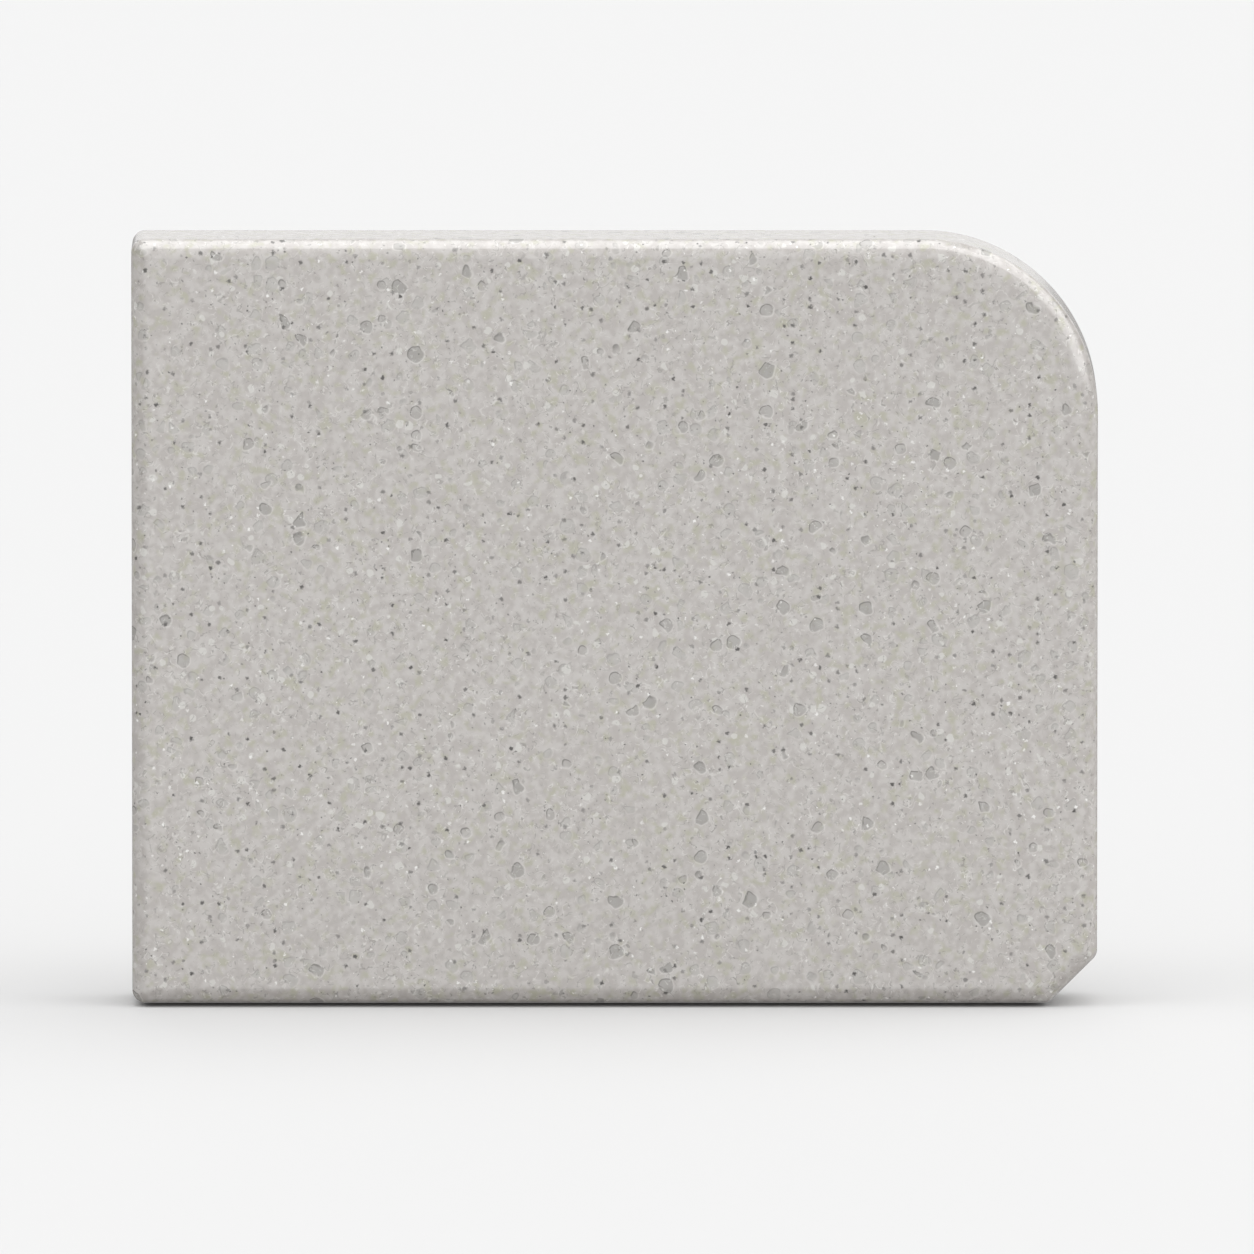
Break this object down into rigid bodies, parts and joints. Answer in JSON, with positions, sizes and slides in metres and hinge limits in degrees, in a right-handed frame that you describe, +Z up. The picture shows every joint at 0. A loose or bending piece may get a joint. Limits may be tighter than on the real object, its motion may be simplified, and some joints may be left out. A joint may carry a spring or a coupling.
{
  "type": "leatherworking tooling slab",
  "caption": "Polished speckled stone slab standing on a long edge, with a large rounded corner, a chamfered corner, rounded rims and stick-on rubber feet on its back.",
  "frame": {"origin": "bottom centre of the whole object's box, on the surface that the slab stands on", "axes": "+X along the slab's width towards the large rounded corner, +Y from the work face towards the feet, +Z up"},
  "size_m": [0.255, 0.038, 0.203],
  "materials": {
    "polished_stone": "polished, pale warm grey with fine grey and white chips",
    "black_rubber": "matt moulded",
    "foam_tape": "closed-cell foam"
  },
  "bodies": {
    "root": {"stone_slab": "polished_stone", "rubber_foot_top_left": "black_rubber", "rubber_foot_top_right": "black_rubber", "rubber_foot_bottom_left": "black_rubber", "rubber_foot_bottom_right": "black_rubber", "adhesive_disc_top_left": "foam_tape", "adhesive_disc_top_right": "foam_tape", "adhesive_disc_bottom_left": "foam_tape", "adhesive_disc_bottom_right": "foam_tape"}
  },
  "joints": []
}
